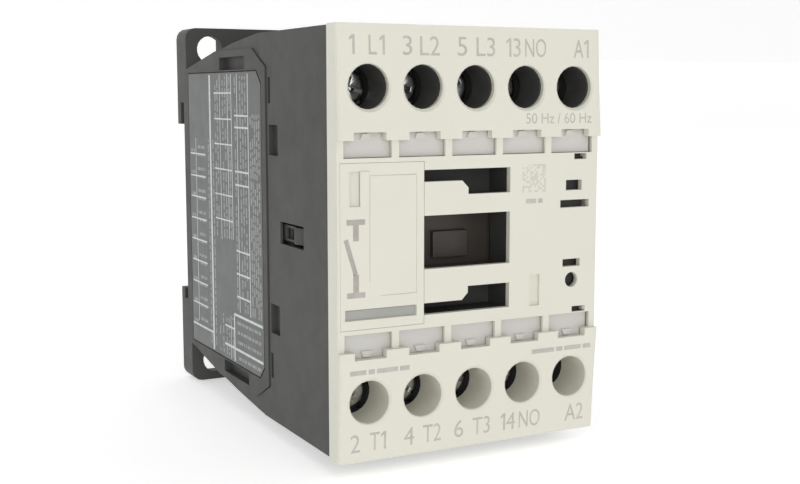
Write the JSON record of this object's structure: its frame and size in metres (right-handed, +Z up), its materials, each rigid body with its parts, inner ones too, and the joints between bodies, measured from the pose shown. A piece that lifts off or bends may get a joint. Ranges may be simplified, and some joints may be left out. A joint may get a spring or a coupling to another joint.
{
  "type": "din rail contactor",
  "caption": "Small electromagnetic contactor for a 35 mm rail, with screw terminals in two rows, a pale front cover and dark moulded housings.",
  "frame": {"origin": "centre of the raised rear seat that rests on the front of the rail", "axes": "+X to the right seen from the front, +Y to the rear out of the seat, +Z up"},
  "size_m": [0.045, 0.075, 0.068],
  "materials": {
    "cover_cream": "fine-textured cream moulding",
    "housing_dark_grey": "fine-textured dark grey moulding",
    "marker_pale_grey": "smooth pale grey moulding",
    "label_film": "satin printed film",
    "carrier_black": "smooth near-black moulding",
    "zinc_plated_steel": "bright zinc plate",
    "clamp_plate_steel": "stamped, zinc plated",
    "silvered_copper": "stamped copper alloy, thin silver plate",
    "copper": "bare copper",
    "laminated_iron": "riveted laminations, ground pole faces",
    "bobbin_nylon": "smooth moulding",
    "winding_tape": "polyester tape over enamelled wire",
    "cushion_rubber": "moulded",
    "spring_steel": "drawn spring wire and strip"
  },
  "bodies": {
    "housing": {"coil_bobbin": "bobbin_nylon", "coil_terminal_A1": "silvered_copper", "coil_terminal_A2": "silvered_copper", "coil_winding": "winding_tape", "contact_housing": "housing_dark_grey", "core_cushion": "cushion_rubber", "fixed_contact_bottom_1": "silvered_copper", "fixed_contact_bottom_2": "silvered_copper", "fixed_contact_bottom_3": "silvered_copper", "fixed_contact_bottom_4": "silvered_copper", "fixed_contact_top_1": "silvered_copper", "fixed_contact_top_2": "silvered_copper", "fixed_contact_top_3": "silvered_copper", "fixed_contact_top_4": "silvered_copper", "fixed_core": "laminated_iron", "front_cover": "cover_cream", "magnet_housing": "housing_dark_grey", "marker_strip_bottom": "marker_pale_grey", "marker_strip_top": "marker_pale_grey", "nameplate_panel": "cover_cream", "rating_label": "label_film", "return_spring_bottom": "spring_steel", "return_spring_top": "spring_steel", "shading_ring_left": "copper", "shading_ring_right": "copper"},
    "carrier": {"contact_carrier": "carrier_black", "armature": "laminated_iron", "armature_key": "laminated_iron", "contact_spring_1": "spring_steel", "contact_spring_2": "spring_steel", "contact_spring_3": "spring_steel", "contact_spring_4": "spring_steel"},
    "bridges": {"contact_bridge_1": "silvered_copper", "contact_bridge_2": "silvered_copper", "contact_bridge_3": "silvered_copper", "contact_bridge_4": "silvered_copper"},
    "clamp_top_1": {"clamp_plate_top_1": "clamp_plate_steel"},
    "screw_top_1": {"terminal_screw_top_1": "zinc_plated_steel"},
    "clamp_top_2": {"clamp_plate_top_2": "clamp_plate_steel"},
    "screw_top_2": {"terminal_screw_top_2": "zinc_plated_steel"},
    "clamp_top_3": {"clamp_plate_top_3": "clamp_plate_steel"},
    "screw_top_3": {"terminal_screw_top_3": "zinc_plated_steel"},
    "clamp_top_4": {"clamp_plate_top_4": "clamp_plate_steel"},
    "screw_top_4": {"terminal_screw_top_4": "zinc_plated_steel"},
    "clamp_top_5": {"clamp_plate_top_5": "clamp_plate_steel"},
    "screw_top_5": {"terminal_screw_top_5": "zinc_plated_steel"},
    "clamp_bottom_1": {"clamp_plate_bottom_1": "clamp_plate_steel"},
    "screw_bottom_1": {"terminal_screw_bottom_1": "zinc_plated_steel"},
    "clamp_bottom_2": {"clamp_plate_bottom_2": "clamp_plate_steel"},
    "screw_bottom_2": {"terminal_screw_bottom_2": "zinc_plated_steel"},
    "clamp_bottom_3": {"clamp_plate_bottom_3": "clamp_plate_steel"},
    "screw_bottom_3": {"terminal_screw_bottom_3": "zinc_plated_steel"},
    "clamp_bottom_4": {"clamp_plate_bottom_4": "clamp_plate_steel"},
    "screw_bottom_4": {"terminal_screw_bottom_4": "zinc_plated_steel"},
    "clamp_bottom_5": {"clamp_plate_bottom_5": "clamp_plate_steel"},
    "screw_bottom_5": {"terminal_screw_bottom_5": "zinc_plated_steel"},
    "rail_spring": {"rail_spring": "spring_steel"}
  },
  "joints": [
    {"name": "carrier_travel", "type": "slide", "parent": "housing", "child": "carrier", "axis": [0, 1, 0], "range_m": [0, 0.004], "stiffness_N_per_m": 500, "springref_m": -0.006, "deforming": ["return_spring_top", "return_spring_bottom"]},
    {"name": "bridge_overtravel", "type": "slide", "parent": "carrier", "child": "bridges", "axis": [0, -1, 0], "range_m": [0, 0.001], "deforming": ["contact_spring_1", "contact_spring_2", "contact_spring_3", "contact_spring_4"]},
    {"name": "clamp_feed_top_1", "type": "slide", "parent": "housing", "child": "clamp_top_1", "axis": [0, 1, 0], "range_m": [0, 0.0024]},
    {"name": "screw_turn_top_1", "type": "hinge", "parent": "clamp_top_1", "child": "screw_top_1", "pos_m": [-0.0176, -0.0641, 0.0227], "axis": [0, 1, 0], "range_deg": [0, 1440]},
    {"name": "clamp_feed_top_2", "type": "slide", "parent": "housing", "child": "clamp_top_2", "axis": [0, 1, 0], "range_m": [0, 0.0024]},
    {"name": "screw_turn_top_2", "type": "hinge", "parent": "clamp_top_2", "child": "screw_top_2", "pos_m": [-0.0088, -0.0641, 0.0227], "axis": [0, 1, 0], "range_deg": [0, 1440]},
    {"name": "clamp_feed_top_3", "type": "slide", "parent": "housing", "child": "clamp_top_3", "axis": [0, 1, 0], "range_m": [0, 0.0024]},
    {"name": "screw_turn_top_3", "type": "hinge", "parent": "clamp_top_3", "child": "screw_top_3", "pos_m": [0, -0.0641, 0.0227], "axis": [0, 1, 0], "range_deg": [0, 1440]},
    {"name": "clamp_feed_top_4", "type": "slide", "parent": "housing", "child": "clamp_top_4", "axis": [0, 1, 0], "range_m": [0, 0.0024]},
    {"name": "screw_turn_top_4", "type": "hinge", "parent": "clamp_top_4", "child": "screw_top_4", "pos_m": [0.0088, -0.0641, 0.0227], "axis": [0, 1, 0], "range_deg": [0, 1440]},
    {"name": "clamp_feed_top_5", "type": "slide", "parent": "housing", "child": "clamp_top_5", "axis": [0, 1, 0], "range_m": [0, 0.0024]},
    {"name": "screw_turn_top_5", "type": "hinge", "parent": "clamp_top_5", "child": "screw_top_5", "pos_m": [0.0176, -0.0641, 0.0227], "axis": [0, 1, 0], "range_deg": [0, 1440]},
    {"name": "clamp_feed_bottom_1", "type": "slide", "parent": "housing", "child": "clamp_bottom_1", "axis": [0, 1, 0], "range_m": [0, 0.0024]},
    {"name": "screw_turn_bottom_1", "type": "hinge", "parent": "clamp_bottom_1", "child": "screw_bottom_1", "pos_m": [-0.0176, -0.0641, -0.0227], "axis": [0, 1, 0], "range_deg": [0, 1440]},
    {"name": "clamp_feed_bottom_2", "type": "slide", "parent": "housing", "child": "clamp_bottom_2", "axis": [0, 1, 0], "range_m": [0, 0.0024]},
    {"name": "screw_turn_bottom_2", "type": "hinge", "parent": "clamp_bottom_2", "child": "screw_bottom_2", "pos_m": [-0.0088, -0.0641, -0.0227], "axis": [0, 1, 0], "range_deg": [0, 1440]},
    {"name": "clamp_feed_bottom_3", "type": "slide", "parent": "housing", "child": "clamp_bottom_3", "axis": [0, 1, 0], "range_m": [0, 0.0024]},
    {"name": "screw_turn_bottom_3", "type": "hinge", "parent": "clamp_bottom_3", "child": "screw_bottom_3", "pos_m": [0, -0.0641, -0.0227], "axis": [0, 1, 0], "range_deg": [0, 1440]},
    {"name": "clamp_feed_bottom_4", "type": "slide", "parent": "housing", "child": "clamp_bottom_4", "axis": [0, 1, 0], "range_m": [0, 0.0024]},
    {"name": "screw_turn_bottom_4", "type": "hinge", "parent": "clamp_bottom_4", "child": "screw_bottom_4", "pos_m": [0.0088, -0.0641, -0.0227], "axis": [0, 1, 0], "range_deg": [0, 1440]},
    {"name": "clamp_feed_bottom_5", "type": "slide", "parent": "housing", "child": "clamp_bottom_5", "axis": [0, 1, 0], "range_m": [0, 0.0024]},
    {"name": "screw_turn_bottom_5", "type": "hinge", "parent": "clamp_bottom_5", "child": "screw_bottom_5", "pos_m": [0.0176, -0.0641, -0.0227], "axis": [0, 1, 0], "range_deg": [0, 1440]},
    {"name": "rail_spring_lift", "type": "slide", "parent": "housing", "child": "rail_spring", "axis": [0, 0, 1], "range_m": [0, 0.002], "stiffness_N_per_m": 4000, "springref_m": -0.001}
  ],
  "couplings": [
    {"joint": "bridge_overtravel", "follows": "carrier_travel", "ratio": 0.25},
    {"joint": "screw_turn_top_1", "follows": "clamp_feed_top_1", "rad_per_m": 10472},
    {"joint": "screw_turn_top_2", "follows": "clamp_feed_top_2", "rad_per_m": 10472},
    {"joint": "screw_turn_top_3", "follows": "clamp_feed_top_3", "rad_per_m": 10472},
    {"joint": "screw_turn_top_4", "follows": "clamp_feed_top_4", "rad_per_m": 10472},
    {"joint": "screw_turn_top_5", "follows": "clamp_feed_top_5", "rad_per_m": 10472},
    {"joint": "screw_turn_bottom_1", "follows": "clamp_feed_bottom_1", "rad_per_m": 10472},
    {"joint": "screw_turn_bottom_2", "follows": "clamp_feed_bottom_2", "rad_per_m": 10472},
    {"joint": "screw_turn_bottom_3", "follows": "clamp_feed_bottom_3", "rad_per_m": 10472},
    {"joint": "screw_turn_bottom_4", "follows": "clamp_feed_bottom_4", "rad_per_m": 10472},
    {"joint": "screw_turn_bottom_5", "follows": "clamp_feed_bottom_5", "rad_per_m": 10472}
  ]
}
